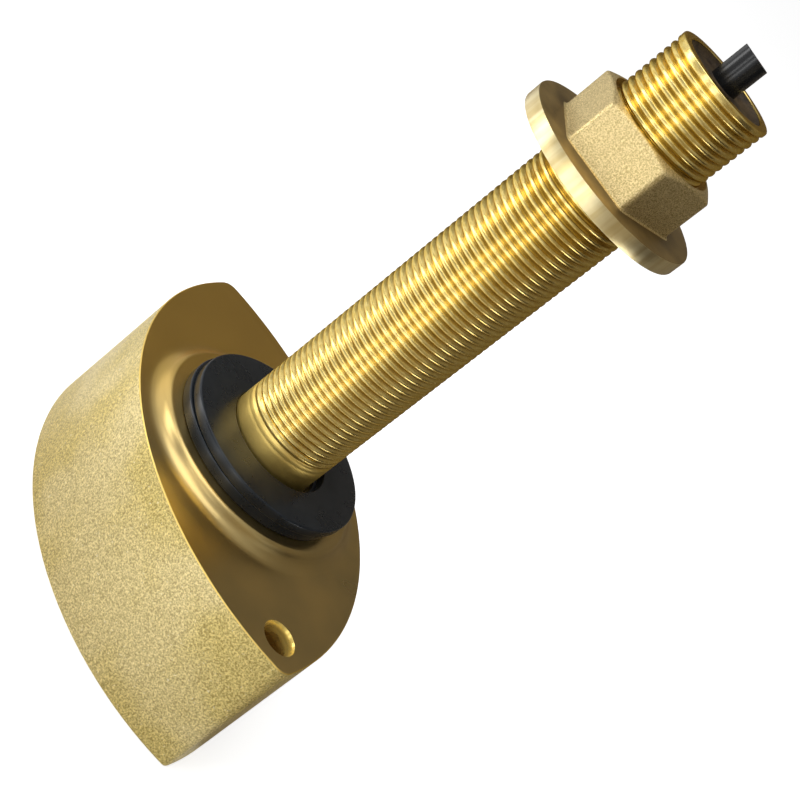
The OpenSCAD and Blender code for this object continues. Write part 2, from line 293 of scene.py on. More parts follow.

# %% [markdown]
# ## Nut brass
# The nut has three finishes, and one mesh can carry them all by face. The hexagon was grit-blasted, which leaves
# an even fine grain. The flange's rim was turned afterwards: it is smoother, paler, and has faint marks across
# its width, made by noise that is stretched along the height. The flange's face stayed dull, and a mask by radius
# paints shade on it, darkest at the hexagon's foot.

# %% Blasted hexagon
blasted_brass = Finish("blasted_brass", metallic=1.0)
grit = blasted_brass.noise(size_mm=0.38, roughness=0.6)
patches = blasted_brass.noise(size_mm=7.0)
grit_mask = blasted_brass.between(grit, low=0.32, high=0.68)
blasted_tone = blasted_brass.blend(grit_mask, rgb(0.44, 0.32, 0.115), rgb(1.0, 0.82, 0.43))
blasted_brass.drive("Base Color", blasted_brass.blend(0.5 * patches, blasted_tone, rgb(0.66, 0.52, 0.26)))
blasted_brass.drive("Roughness", 0.32 + 0.2 * grit)
blasted_brass.bump(grit, depth_mm=0.10)
print("made", blasted_brass.material.name)

# %% Turned rim
turned_rim = Finish("turned_rim", metallic=1.0)
across = turned_rim.noise(size_mm=2.2, stretch=(1, 1, 0.04))
across_mask = turned_rim.between(across, low=0.3, high=0.7)
turned_rim.drive("Base Color", turned_rim.blend(across_mask, rgb(0.76, 0.60, 0.28), rgb(0.92, 0.79, 0.46)))
turned_rim.drive("Roughness", 0.24 + 0.16 * across)
turned_rim.bump(across, depth_mm=0.006)
print("made", turned_rim.material.name)

# %% Flange face
SHADE_START, SHADE_FULL = 32.0 * MM, 23.0 * MM
SHADE_WANDER = 6.0 * MM

flange_face = Finish("flange_face", metallic=1.0)
tarnish = flange_face.noise(size_mm=9.0, detail=3.0)
tarnish_mask = flange_face.between(tarnish, low=0.3, high=0.7)
flange_tone = flange_face.blend(tarnish_mask, rgb(0.33, 0.23, 0.088), rgb(0.44, 0.315, 0.13))
# Painted shade at the hexagon's foot; the tarnish noise only makes its edge wander.
painted_shade_mask = flange_face.between(flange_face.radius() + SHADE_WANDER * tarnish, SHADE_START, SHADE_FULL)
flange_face.drive("Base Color", flange_face.blend(painted_shade_mask, flange_tone, rgb(0.17, 0.12, 0.055)))
flange_face.drive("Roughness", 0.38 + 0.12 * tarnish)
flange_face.bump(flange_face.noise(size_mm=0.5), depth_mm=0.04)
print("made", flange_face.material.name)

# %% [markdown]
# ## Rubber, cable and compound
# Black materials differ in gloss more than in colour. The washers are satin rubber, the cable's jacket is a little
# glossier, and the sealing compound in the stem is a dull brown-black resin that set slightly wavy. One function
# with a few settings makes all three, so they stay easy to compare.

# %% Black finishes
FINER = 12  # times that the relief is finer than the patches


def dark_finish(name, low, high, patch_mm, rough_low, rough_span, relief_mm, specular):
    """Dark finish in soft patches between two colours, with a fine relief."""
    finish = Finish(name, specular_ior_level=specular)
    cloud = finish.noise(patch_mm, detail=4.0, roughness=0.6)
    finish.drive("Base Color", finish.blend(finish.between(cloud, low=0.3, high=0.75), low, high))
    finish.drive("Roughness", rough_low + rough_span * cloud)
    finish.bump(finish.noise(patch_mm / FINER), relief_mm)
    return finish


seal_rubber = dark_finish("seal_rubber", rgb(0.007, 0.010, 0.014), rgb(0.011, 0.015, 0.020), patch_mm=9.0,
                          rough_low=0.23, rough_span=0.10, relief_mm=0.004, specular=0.4)
cable_black = dark_finish("cable_black", rgb(0.004, 0.005, 0.006), rgb(0.006, 0.007, 0.008), patch_mm=8.0,
                          rough_low=0.20, rough_span=0.05, relief_mm=0.003, specular=0.5)
potting = dark_finish("potting", rgb(0.020, 0.012, 0.006), rgb(0.072, 0.045, 0.018), patch_mm=5.0,
                      rough_low=0.40, rough_span=0.3, relief_mm=0.05, specular=0.25)
print("made", seal_rubber.material.name, cable_black.material.name, "and", potting.material.name)

# %% [markdown]
# ## Hidden parts
# The ceramics, cork, transformer and wires are sealed inside. They still get a finish each, so that a cutaway
# looks right. Each could have its own graph, but nobody sees them up close: one function makes a speckled finish
# from two colours and a grain size, and a table lists the looks.

# %% Finishes of the inner parts


def speckled(name, low, high, grain_mm, roughness, relief_mm, metallic):
    """Finish that is speckled from one colour to another."""
    finish = Finish(name, metallic=metallic)
    speck = finish.noise(grain_mm, detail=3.0, roughness=0.6)
    finish.drive("Base Color", finish.blend(finish.between(speck, low=0.35, high=0.65), low, high))
    finish.drive("Roughness", roughness - 0.1 + 0.2 * speck)
    finish.bump(speck, relief_mm)
    return finish


# Darker colour, lighter colour, grain in mm, roughness, relief in mm, metallic.
INNER_LOOKS = {
    "window_urethane": (rgb(0.02, 0.02, 0.02), rgb(0.035, 0.035, 0.034), 3.0, 0.45, 0.02, 0.0),
    "cork": (rgb(0.28, 0.16, 0.08), rgb(0.56, 0.38, 0.22), 2.0, 0.85, 0.15, 0.0),
    "ceramic": (rgb(0.62, 0.61, 0.58), rgb(0.78, 0.77, 0.74), 1.5, 0.40, 0.01, 1.0),
    "ferrite": (rgb(0.04, 0.04, 0.045), rgb(0.07, 0.07, 0.075), 0.8, 0.60, 0.02, 0.0),
    "copper": (rgb(0.62, 0.26, 0.13), rgb(0.76, 0.36, 0.20), 0.7, 0.30, 0.03, 1.0),
    "board": (rgb(0.02, 0.12, 0.05), rgb(0.03, 0.18, 0.08), 1.0, 0.40, 0.01, 0.0),
    "red_wire": (rgb(0.35, 0.02, 0.02), rgb(0.48, 0.04, 0.03), 2.0, 0.40, 0.01, 0.0),
    "white_wire": (rgb(0.66, 0.64, 0.58), rgb(0.78, 0.76, 0.71), 2.0, 0.40, 0.01, 0.0),
    "braid": (rgb(0.40, 0.30, 0.22), rgb(0.70, 0.62, 0.54), 0.4, 0.35, 0.08, 1.0),
    "foam": (rgb(0.52, 0.52, 0.46), rgb(0.70, 0.70, 0.63), 0.6, 0.85, 0.05, 0.0),
}
slot_finish = {name: speckled(name, *look) for name, look in INNER_LOOKS.items()}
slot_finish.update(cast_bronze=cast_skin, nut_brass=blasted_brass, seal_rubber=seal_rubber, potting=potting,
                   cable_black=cable_black)
print("made", len(INNER_LOOKS), "finishes for the inner parts")

# %% Dress the nodes
for subpart in frame["record"]["subparts"]:
    for material_slot in frame["nodes"][subpart["node"]].material_slots:
        material_slot.material = slot_finish[subpart["material_slot"]].material

# %% [markdown]
# ## Rings
# Most of this object was turned, and a turned form is a stack of rings. A spin of a profile would make round forms
# alone. `follow` extrudes an edge loop through a list of rings instead, each given as radius and height in
# millimetres, and either may be a function of the angle. So the same tool makes the hexagon and the sloping cut.

# %% Ring helpers


def angle_of(vert):
    return atan2(vert.co.y, vert.co.x)


def measure(size, angle):
    return (size(angle) if callable(size) else size) * MM


def place_ring(verts, radius, height, centre=(0.0, 0.0)):
    """Moves points to a radius and height without turning them about the centre."""
    x, y = centre[0] * MM, centre[1] * MM
    for vert in verts:
        angle = atan2(vert.co.y - y, vert.co.x - x)
        reach = measure(radius, angle)
        vert.co = (x + reach * cos(angle), y + reach * sin(angle), measure(height, angle))


def first_ring(bm, radius, height, segments, centre=(0.0, 0.0)):
    """Edge loop to start from."""
    verts = bmesh.ops.create_circle(bm, segments=segments, radius=MM)["verts"]
    bmesh.ops.translate(bm, verts=verts, vec=(centre[0] * MM, centre[1] * MM, 0))
    place_ring(verts, radius, height, centre)
    return list({edge for vert in verts for edge in vert.link_edges})


def follow(bm, loop, rings, material, centre=(0.0, 0.0)):
    """Extrudes a closed edge loop through (radius, height) rings and returns the last loop."""
    for radius, height in rings:
        made = bmesh.ops.extrude_edge_only(bm, edges=loop)["geom"]
        verts = [g for g in made if isinstance(g, bmesh.types.BMVert)]
        place_ring(verts, radius, height, centre)
        for face in (g for g in made if isinstance(g, bmesh.types.BMFace)):
            face.material_index = material
        fresh = set(verts)
        loop = [g for g in made if isinstance(g, bmesh.types.BMEdge) and fresh.issuperset(g.verts)]
    return loop


def arc(centre_r, centre_z, radius, start, end, steps):
    """Rings along an arc of a turned profile, angles in degrees."""
    turns = [radians(start + (end - start) * i / steps) for i in range(steps + 1)]
    return [(centre_r + radius * cos(t), centre_z + radius * sin(t)) for t in turns]


# %% [markdown]
# Every bmesh ends the same way. Its seams are merged and its faces turned outwards, an edge is drawn sharp where
# it is steep or parts two finishes, the piece is tied to its body, and the nodes that it stands for are hidden.

# %% Piece helpers
SEAM = 1e-7
SHARP = radians(32)


def to_mesh(bm, name):
    """Turns a bmesh into a mesh and frees it."""
    mesh = bpy.data.meshes.new(name)
    bm.to_mesh(mesh)
    bm.free()
    return mesh


def finish_piece(bm, name, body, finishes, nodes):
    """Turns a bmesh into a dressed piece that stands for some nodes."""
    bmesh.ops.remove_doubles(bm, verts=bm.verts, dist=SEAM)
    bmesh.ops.recalc_face_normals(bm, faces=bm.faces)
    for face in bm.faces:
        face.smooth = True
    for edge in bm.edges:
        one_finish = len({face.material_index for face in edge.link_faces}) == 1
        edge.smooth = one_finish and edge.calc_face_angle(0.0) < SHARP
    open_edges = sum(1 for edge in bm.edges if not edge.is_manifold)
    mesh = to_mesh(bm, name)
    for finish in finishes:
        mesh.materials.append(finish.material)
    piece = add_object(name, mesh)
    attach(piece, body)
    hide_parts(*nodes)
    mesh.calc_loop_triangles()
    print(name, len(mesh.loop_triangles), "triangles,", open_edges, "open edges")


# %% [markdown]
# ## Housing and stem
# The housing, boss and stem are one casting, so they are one mesh. It is built in three parts, which are joined at
# the end: the stem with its thread and boss, the lens-shaped shell, and the bolt hole. What the solids fix is
# read from the frame, and the other sizes are in millimetres.

# %% Sizes of the housing
housing_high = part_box("housing")[1]
washer_low, washer_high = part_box("lower_seal_washer")
HALF_L = housing_high.x / MM
HALF_W = 44.0
TOP_FACE = 49.4
STEM_TOP = housing_high.z / MM
NOSE_R = 5.0
BOSS_TOP = washer_low.z / MM
BOSS_LAND = 4.4
BOSS_R = washer_high.x / MM + BOSS_LAND
FILLET_R = 7.0
STEM_R = THREAD_R / MM
BORE_R = 13.75
NECK_RISE = 14.6
NECK_TOP = TOP_FACE + NECK_RISE
LIP_TALL = 1.2
LIP_START = STEM_TOP - LIP_TALL
THREAD_PITCH = 2.309
CAVITY_TOP = 43.0
WALL = 4.5
TIP_SOLID_X = 54.1
CAST, TURNED, BRIGHT, TAPPED = range(4)
print("housing reaches", round(STEM_TOP, 2), "mm up the stem axis")

# %% [markdown]
# The thread comes first. A screw modifier could sweep its profile, but the ends would need much trimming. Here a
# flat grid is rolled up into a cylinder whose rows climb one pitch a turn, and two cutting planes square off its
# ends. Pressing the points in along the helix then gives a true thread. The press fades out at both ends, so the
# two rims stay round and the neck, boss, lip and bore can be extruded from them.

# %% Thread helpers
GRID_HALF = 0.5
SPARE_TURNS, SPARE_BELOW = 3, 2
ROLL_SEAM = 2e-6
GROOVE_POWER = 1.9


def screw_skin(bm, radius, pitch, low, high, segments, rows, material):
    """Cylinder of helical strips between two heights; returns its lower and upper rims."""
    turns = ceil((high - low) / pitch) + SPARE_TURNS
    bmesh.ops.create_grid(bm, x_segments=segments, y_segments=turns * rows, size=GRID_HALF)
    for vert in bm.verts:
        turn = vert.co.x + GRID_HALF
        climb = (vert.co.y + GRID_HALF) * turns + turn - SPARE_BELOW + floor(low / pitch)
        vert.co = (radius * MM * cos(2 * pi * turn), radius * MM * sin(2 * pi * turn), climb * pitch * MM)
    bmesh.ops.remove_doubles(bm, verts=bm.verts, dist=ROLL_SEAM)
    rims = []
    for height, side in ((low, -1), (high, 1)):
        cut = bmesh.ops.bisect_plane(bm, geom=bm.verts[:] + bm.edges[:] + bm.faces[:], dist=SEAM,
                                     plane_co=(0, 0, height * MM), plane_no=(0, 0, side), clear_outer=True)
        rims.append([g for g in cut["geom_cut"] if isinstance(g, bmesh.types.BMEdge)])
    for face in bm.faces:
        face.material_index = material
    return rims


def press_thread(bm, radius, depth, pitch, low, high, fade_in, fade_out):
    """Moves a skin's points in along the helix. The groove fades in at the low end and out at the high end."""
    for vert in bm.verts:
        height = vert.co.z / MM
        angle = angle_of(vert)
        phase = height / pitch - angle / (2 * pi)
        groove = (0.5 - 0.5 * cos(2 * pi * phase)) ** GROOVE_POWER
        ramp = max(min((height - low) / fade_in, (high - height) / fade_out, 1.0), 0.0)
        reach = (radius - depth * groove * ramp * ramp * (3 - 2 * ramp)) * MM
        vert.co.x = reach * cos(angle)
        vert.co.y = reach * sin(angle)


# %% Thread
RUN_OUT = 9.0
LIP_FADE = 0.6

stem = bmesh.new()
neck_rim, lip_rim = screw_skin(stem, STEM_R, THREAD_PITCH, NECK_TOP, LIP_START, segments=96, rows=10,
                               material=BRIGHT)
press_thread(stem, STEM_R, THREAD_DEPTH / MM, THREAD_PITCH, NECK_TOP, LIP_START, RUN_OUT, LIP_FADE)
print("thread", len(stem.faces), "faces,", len(neck_rim), "and", len(lip_rim), "rim edges")

# %% [markdown]
# Below the thread come the neck, the flat land of the boss and the concave sweep to the top face. Above it come
# the rounded lip, the end face and the bore. Both are rings that follow the thread's rims, so no seam shows.

# %% Boss
NECK_FOOT = 0.6
BOSS_EDGE = ((1.1, 0.0), (0.6, 0.06), (0.15, 0.3))  # in from the boss's edge and down from its land
FACE_MARGIN = 0.4

boss_dip = FILLET_R - (BOSS_TOP - TOP_FACE)
fillet_x = BOSS_R + sqrt(FILLET_R ** 2 - boss_dip ** 2)
fillet_start = 180 + degrees(atan2(boss_dip, fillet_x - BOSS_R))
sweep = arc(fillet_x, TOP_FACE + FILLET_R, FILLET_R, fillet_start, 270, steps=14)
boss_rings = [(BOSS_R - inward, BOSS_TOP - down) for inward, down in BOSS_EDGE]
boss_rings += sweep[2:]  # the soft edge takes the place of the sweep's first two rings
boss_rings += [(fillet_x + FACE_MARGIN, TOP_FACE)]
neck = follow(stem, neck_rim, [(STEM_R, BOSS_TOP + NECK_FOOT), (STEM_R + NECK_FOOT, BOSS_TOP)], BRIGHT)
follow(stem, neck, boss_rings, TURNED)
print("boss foot at", round(fillet_x, 2), "mm from the axis")

# %% Lip and bore
LIP_ROUND = 0.5
BORE_CHAMFER = 0.2

lip = arc(STEM_R - LIP_ROUND, STEM_TOP - LIP_ROUND, LIP_ROUND, 0, 90, steps=5)
lip += [(BORE_R + BORE_CHAMFER, STEM_TOP), (BORE_R, STEM_TOP - BORE_CHAMFER), (BORE_R, CAVITY_TOP)]
follow(stem, lip_rim, lip, BRIGHT)
print("stem", len(stem.faces), "faces with its boss and bore")

# %% [markdown]
# The lens outline is four arcs: two long sides and two rounded tips, each tangent to the next. Spinning one vertex
# about an arc's centre draws that arc, and insetting the outline only shortens the radii, so the arcs stay exact.
# Towards the base the outline grows a little longer and its tips sharper, as a casting's draft makes them. The
# casting is open underneath, and its cavity has the same side arcs drawn in by the wall, cut straight before the
# solid tips.

# %% Lens outline
TIP_LEAN = 2.4
FOOT_NOSE_R = 2.0
CHAIN_SEAM = 1e-6


def side_arc(half_length, nose):
    """Radius of the long arcs and how far their centres lie across the lens."""
    nose_x = half_length - nose
    radius = (HALF_W ** 2 + nose_x ** 2 - nose ** 2) / (2 * (HALF_W - nose))
    return radius, radius - HALF_W


def spun_arc(bm, centre, radius, start, sweep_angle, height, steps):
    """Edge chain along an arc about an upright axis."""
    begin = (centre[0] + radius * cos(start), centre[1] + radius * sin(start))
    vert = bm.verts.new((begin[0] * MM, begin[1] * MM, height * MM))
    bmesh.ops.spin(bm, geom=[vert], cent=(centre[0] * MM, centre[1] * MM, 0), axis=(0, 0, 1),
                   angle=sweep_angle, steps=steps, use_merge=False)


def new_edges(bm, known):
    """Edges made since the known ones, with the ends of their chains merged."""
    fresh = [edge for edge in bm.edges if edge not in known]
    ends = list({vert for edge in fresh for vert in edge.verts})
    bmesh.ops.remove_doubles(bm, verts=ends, dist=CHAIN_SEAM)
    return [edge for edge in bm.edges if edge not in known]


def lens_loop(bm, inset, height, side_steps=96, nose_steps=16):
    """Closed loop of the lens outline at a height, drawn in by inset."""
    known = set(bm.edges)
    drop = 1 - height / TOP_FACE
    nose = NOSE_R + (FOOT_NOSE_R - NOSE_R) * drop
    nose_x = HALF_L + TIP_LEAN * drop - nose
    radius, off_centre = side_arc(nose_x + nose, nose)
    tangent = atan2(off_centre, nose_x)
    for turn in (0, pi):
        flip = cos(turn)
        spun_arc(bm, (0, -flip * off_centre), radius - inset, tangent + turn, pi - 2 * tangent, height,
                 side_steps)
        spun_arc(bm, (flip * nose_x, 0), nose - inset, turn - tangent, 2 * tangent, height, nose_steps)
    return new_edges(bm, known)


def cavity_loop(bm, height, steps=48):
    """Closed loop of the cavity: two arcs and two straight ends."""
    known = set(bm.edges)
    radius, off_centre = side_arc(HALF_L, NOSE_R)
    inner = radius - WALL
    lean = atan2(sqrt(inner ** 2 - TIP_SOLID_X ** 2), TIP_SOLID_X)
    for turn in (0, pi):
        spun_arc(bm, (0, -cos(turn) * off_centre), inner, lean + turn, pi - 2 * lean, height, steps)
    chain_ends = [vert for vert in bm.verts if len(vert.link_edges) == 1]
    for side in (-1, 1):
        bm.edges.new([vert for vert in chain_ends if vert.co.x * side > 0])
    return new_edges(bm, known)


# %% [markdown]
# Bridges between such loops make the walls. The top edge was deburred after machining, which left a narrow bright
# band, so that band is a bridge of its own with the finish of the stem. The foot's edge is softly worn.

# %% Shell
DEBURRED = 0.3
FOOT_EDGE = [(0.0, 0.8), (0.2, 0.2), (0.6, 0.0)]  # inset and height


def span(bm, first, second, material=CAST):
    """Wall between two loops."""
    for face in bmesh.ops.bridge_loops(bm, edges=first + second)["faces"]:
        face.material_index = material


shell = bmesh.new()
wall_edges = [(DEBURRED, TOP_FACE), (0.0, TOP_FACE - DEBURRED)] + FOOT_EDGE
outer_loops = [lens_loop(shell, inset, height) for inset, height in wall_edges]
span(shell, *outer_loops[:2], BRIGHT)
for upper, lower in zip(outer_loops[1:], outer_loops[2:]):
    span(shell, upper, lower)
cavity_mouth = cavity_loop(shell, 0.0)
span(shell, cavity_mouth, cavity_loop(shell, CAVITY_TOP))
bmesh.ops.triangle_fill(shell, edges=outer_loops[-1] + cavity_mouth, use_beauty=True, normal=(0, 0, -1))
print("shell", len(shell.faces), "faces, side arcs of", round(side_arc(HALF_L, NOSE_R)[0], 1), "mm")

# %% [markdown]
# The bolt hole near one tip is a blind tapped hole. A boolean could cut it, but leaves a ragged mesh. It uses the
# same screw skin on a smaller cylinder, moved to its place, with a drill point below and a mouth that flares out
# to the top face.

# %% Bolt hole
HOLE_FROM_TIP = 11.5
HOLE_X = HALF_L - HOLE_FROM_TIP
HOLE_R = 5.1
HOLE_DEPTH = 25.0
HOLE_PITCH = 1.75
HOLE_THREAD = 0.07
HOLE_FADE = 0.5
HOLE_CHAMFER = 0.6
HOLE_FLARE = 3 * HOLE_CHAMFER
FLARE_STEPS = 4
DRILL_RUN = 2.0
DRILL_POINT = 2.5

hole_foot = TOP_FACE - HOLE_DEPTH
thread_low, thread_high = hole_foot + DRILL_RUN, TOP_FACE - HOLE_FLARE
hole = bmesh.new()
low_rim, high_rim = screw_skin(hole, HOLE_R, HOLE_PITCH, thread_low, thread_high, segments=48, rows=6,
                               material=TAPPED)
press_thread(hole, HOLE_R, -HOLE_THREAD, HOLE_PITCH, thread_low, thread_high, HOLE_FADE, HOLE_FADE)
follow(hole, low_rim, [(HOLE_R, hole_foot), (0.0, hole_foot - DRILL_POINT)], TAPPED)
rises = [step / FLARE_STEPS for step in range(1, FLARE_STEPS + 1)]
mouth = [(HOLE_R + HOLE_CHAMFER * rise ** 2, TOP_FACE - HOLE_FLARE * (1 - rise)) for rise in rises]
follow(hole, high_rim, mouth, TAPPED)
bmesh.ops.translate(hole, verts=hole.verts, vec=(HOLE_X * MM, 0, 0))
print("bolt hole", len(hole.faces), "faces")

# %% [markdown]
# Joined in one mesh, the three parts leave open rims at two heights: at the top face (outline, boss and bolt hole)
# and at the roof of the cavity (cavity and bore). A triangle fill closes each set, because it copes with a flat
# region that has holes in it.

# %% Join the housing
SAME_HEIGHT = 1e-6


def absorb(target, source):
    """Adds one bmesh to another."""
    scratch = to_mesh(source, "scratch")
    target.from_mesh(scratch)
    bpy.data.meshes.remove(scratch)


absorb(stem, shell)
absorb(stem, hole)
for height, facing_up, material in ((TOP_FACE, 1, TURNED), (CAVITY_TOP, -1, CAST)):
    rims = [edge for edge in stem.edges if edge.is_boundary
            and all(abs(vert.co.z - height * MM) < SAME_HEIGHT for vert in edge.verts)]
    filled = bmesh.ops.triangle_fill(stem, edges=rims, use_beauty=True, normal=(0, 0, facing_up))
    for face in (g for g in filled["geom"] if isinstance(g, bmesh.types.BMFace)):
        face.material_index = material
finish_piece(stem, "bronze_housing", "transducer", [cast_skin, turned_face, bright_thread, hole_gold],
             ["housing"])

# %% [markdown]
# ## Hull nut
# The nut is one casting. A hexagon could be cut from a cylinder, but then its soft edges would need a bevel at
# every corner. Here its rings run from the lower mouth of the bore, round the flange, up the hexagon and back down
# the bore. On the hexagon the radius depends on the angle: a flat's distance over the cosine, with a small round
# at each corner. A shallow cone trims the top, so each flat ends in an arc.

# %% Sizes of the nut
nut_low, nut_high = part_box("hull_nut")
FLANGE_Z = nut_low.z / MM
NUT_TOP = nut_high.z / MM
FLANGE_R = nut_high.x / MM
FLANGE_THICK = 5.1
HEX_Z = FLANGE_Z + FLANGE_THICK
THREAD_PLAY = 0.07
NUT_BORE = STEM_R + THREAD_PLAY
NUT_WALL = 2.6
HEX_FLAT = NUT_BORE + NUT_WALL
HEX_TURN = radians(42)
HEX_SECTOR = radians(60)
CORNER_ROUND = 2.2
CORNER_TRIM = 0.35
SINK = 1.6
CONE_DROP = 1.4
CONE_START = HEX_FLAT - SINK / 2
CONE_SLOPE = CONE_DROP / (HEX_FLAT / cos(HEX_SECTOR / 2) - CORNER_TRIM - CONE_START)
print("hexagon", round(2 * HEX_FLAT, 1), "mm across flats")

# %% Hexagon


def hexagon(angle, inset=0.0):
    """Distance from the axis to a hexagon with rounded corners."""
    flat = HEX_FLAT - inset
    off_flat = abs((angle - HEX_TURN) % HEX_SECTOR - HEX_SECTOR / 2)
    tangent_angle = atan2((HEX_FLAT - CORNER_ROUND) * tan(HEX_SECTOR / 2), flat)
    if off_flat <= tangent_angle:
        return flat / cos(off_flat)
    corner_centre = (HEX_FLAT - CORNER_ROUND) / cos(HEX_SECTOR / 2)
    corner = CORNER_ROUND - inset
    off_corner = HEX_SECTOR / 2 - off_flat
    across_corner = max(corner ** 2 - (corner_centre * sin(off_corner)) ** 2, 0.0)
    return corner_centre * cos(off_corner) + sqrt(across_corner)


def cone(reach):
    """Height of the trimming cone at a distance from the axis."""
    return NUT_TOP - max(reach - CONE_START, 0.0) * CONE_SLOPE


# %% Nut rings
RIM_LOW, RIM_HIGH = 0.45, 0.4
RIM_BEND = 0.12
HEX_FOOT = 0.9
FOOT_BEND = 0.3 * HEX_FOOT
SOFT = 0.45
SOFT_BEND = 0.13
MOUTH_SOFT = 0.1
MOUTH_DROP = 0.15
LAND_MARGIN = 0.2
MOUTH_R = NUT_BORE + SINK
SINK_NARROW, SINK_STRAIGHT, SINK_DEEP = 0.85 * SINK, 1.6 * SINK, 2.2 * SINK
BLASTED, RIM, SATIN = range(3)

under_rings = [(MOUTH_R, FLANGE_Z), (FLANGE_R - RIM_LOW, FLANGE_Z), (FLANGE_R - RIM_BEND, FLANGE_Z + RIM_BEND)]
rim_rings = [(FLANGE_R, FLANGE_Z + RIM_LOW), (FLANGE_R, HEX_Z - RIM_HIGH),
             (FLANGE_R - RIM_HIGH / 4, HEX_Z - RIM_BEND)]
face_rings = [(FLANGE_R - RIM_HIGH, HEX_Z), (lambda a: hexagon(a) + HEX_FOOT, HEX_Z)]
hex_rings = [
    (lambda a: hexagon(a) + FOOT_BEND, HEX_Z + FOOT_BEND),
    (hexagon, HEX_Z + HEX_FOOT),
    (hexagon, lambda a: cone(hexagon(a)) - SOFT),
    (lambda a: hexagon(a, SOFT_BEND), lambda a: cone(hexagon(a)) - SOFT_BEND),
    (lambda a: hexagon(a, SOFT), lambda a: cone(hexagon(a, SOFT))),
    (CONE_START - LAND_MARGIN, NUT_TOP),
]
bore_rings = [
    (MOUTH_R + MOUTH_SOFT, NUT_TOP),
    (MOUTH_R - MOUTH_SOFT, NUT_TOP - MOUTH_DROP),
    (NUT_BORE + SINK_NARROW, NUT_TOP - SINK_STRAIGHT),
    (NUT_BORE, NUT_TOP - SINK_DEEP),
    (NUT_BORE, FLANGE_Z + SINK),
]
nut = bmesh.new()
loop = first_ring(nut, NUT_BORE, FLANGE_Z + SINK, segments=240)
for some_rings, material in ((under_rings, SATIN), (rim_rings, RIM), (face_rings, SATIN),
                             (hex_rings + bore_rings, BLASTED)):
    loop = follow(nut, loop, some_rings, material)
finish_piece(nut, "flanged_nut", "nut", [blasted_brass, turned_rim, flange_face], ["hull_nut"])

# %% [markdown]
# ## Seal washers
# Each washer is a punched rubber ring whose edges have softened. A bevel would do, but the rounded section is only
# a handful of rings, and each washer takes its place and size from the frame.

# %% Seal washers
WASHER_GAP = 1.3
INNER_ROUND = 0.3


def seal_ring(name, node, edge_round):
    """Rubber ring with rounded edges round the stem."""
    low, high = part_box(node)
    centre = ((low.x + high.x) / 2 / MM, (low.y + high.y) / 2 / MM)
    outer, bottom, top = (high.x - low.x) / 2 / MM, low.z / MM, high.z / MM
    inner = STEM_R + WASHER_GAP
    section = arc(outer - edge_round, bottom + edge_round, edge_round, -90, 0, steps=5)
    section += arc(outer - edge_round, top - edge_round, edge_round, 0, 90, steps=5)
    section += arc(inner + INNER_ROUND, top - INNER_ROUND, INNER_ROUND, 90, 180, steps=3)
    section += [(inner, bottom + INNER_ROUND), (inner + INNER_ROUND, bottom)]
    ring = bmesh.new()
    start = first_ring(ring, inner + INNER_ROUND, bottom, segments=160, centre=centre)
    follow(ring, start, section, 0, centre)
    finish_piece(ring, name, "transducer", [seal_rubber], [node])


seal_ring("lower_seal", "lower_seal_washer", edge_round=0.5)
seal_ring("upper_seal", "upper_seal_washer", edge_round=0.7)

# %% [markdown]
# ## Sealing compound
# The compound fills the stem round the cable. It climbs a little at the bore and at the cable, as a liquid does
# before it sets. A fluid could be simulated, but two short lists of steps draw the same curve as rings.

# %% Sealing compound
CABLE_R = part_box("cable_jacket")[1].x / MM
compound_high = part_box("stem_potting")[1]
COMPOUND_TOP = compound_high.z / MM
COMPOUND_R = compound_high.x / MM
CABLE_GAP = 0.05
CABLE_CLIMB = ((CABLE_GAP, 0.9), (0.5, 0.55), (1.2, 0.15), (2.2, 0.0))  # out from the cable and up
BORE_CLIMB = ((2.2, 0.0), (1.0, 0.4), (0.4, 0.9), (0.0, 1.6))  # in from the bore and up
SEAT_RISE = 1.25
JACKET_SEAT = CAVITY_TOP + SEAT_RISE
CORE_HOLE_R = 2.65

compound = bmesh.new()
loop = first_ring(compound, CABLE_R + CABLE_GAP, JACKET_SEAT, segments=96)
section = [(CABLE_R + out, COMPOUND_TOP + up) for out, up in CABLE_CLIMB]
section += [(COMPOUND_R - inward, COMPOUND_TOP + up) for inward, up in BORE_CLIMB]
section += [(COMPOUND_R, CAVITY_TOP), (CORE_HOLE_R, CAVITY_TOP), (CORE_HOLE_R, JACKET_SEAT),
            (CABLE_R + CABLE_GAP, JACKET_SEAT)]
follow(compound, loop, section, 0)
finish_piece(compound, "stem_compound", "transducer", [potting], ["stem_potting"])

# %% [markdown]
# ## Cable
# The cable's jacket ends in a sloping cut whose edge is slightly rounded. A cutting plane could slice it, but then
# the rounding would need a bevel. Rings whose height follows the slope make the cut and its round edge together.

# %% Cable jacket
JACKET_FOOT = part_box("cable_jacket")[0].z / MM
JACKET_WALL = 1.25
CABLE_INNER = CABLE_R - JACKET_WALL
CABLE_STUB = 9.4
CABLE_TOP = STEM_TOP + CABLE_STUB
CUT_SLOPE = radians(8)
CUT_HEADING = radians(115)
CUT_SOFT = 0.1


def cut_height(radius, below=0.0):
    """Height of the sloping cut, or of a line below it, at each angle of a ring."""
    return lambda angle: CABLE_TOP - radius * tan(CUT_SLOPE) * cos(angle - CUT_HEADING) - below


jacket = bmesh.new()
loop = first_ring(jacket, CABLE_INNER, JACKET_FOOT, segments=64)
section = [(CABLE_R, JACKET_FOOT), (CABLE_R, STEM_TOP), (CABLE_R, cut_height(CABLE_R, below=CUT_SOFT))]
section += [(reach, cut_height(reach)) for reach in (CABLE_R - CUT_SOFT, CABLE_INNER)]
section += [(CABLE_INNER, JACKET_FOOT)]
follow(jacket, loop, section, 0)
finish_piece(jacket, "cable_sleeve", "transducer", [cable_black], ["cable_jacket"])

# %% [markdown]
# ## Floor and world
# The part stands on a pale floor in a white room. More light would turn the floor white but also wash out the
# metal. So floor and world glow fully for the camera alone, and less for mirrors and for all other light, which
# keeps a soft shadow.

# %% Floor
FLOOR_REACH = 4.0
FLOOR_GLOW = 0.55
IN_METAL = 0.28

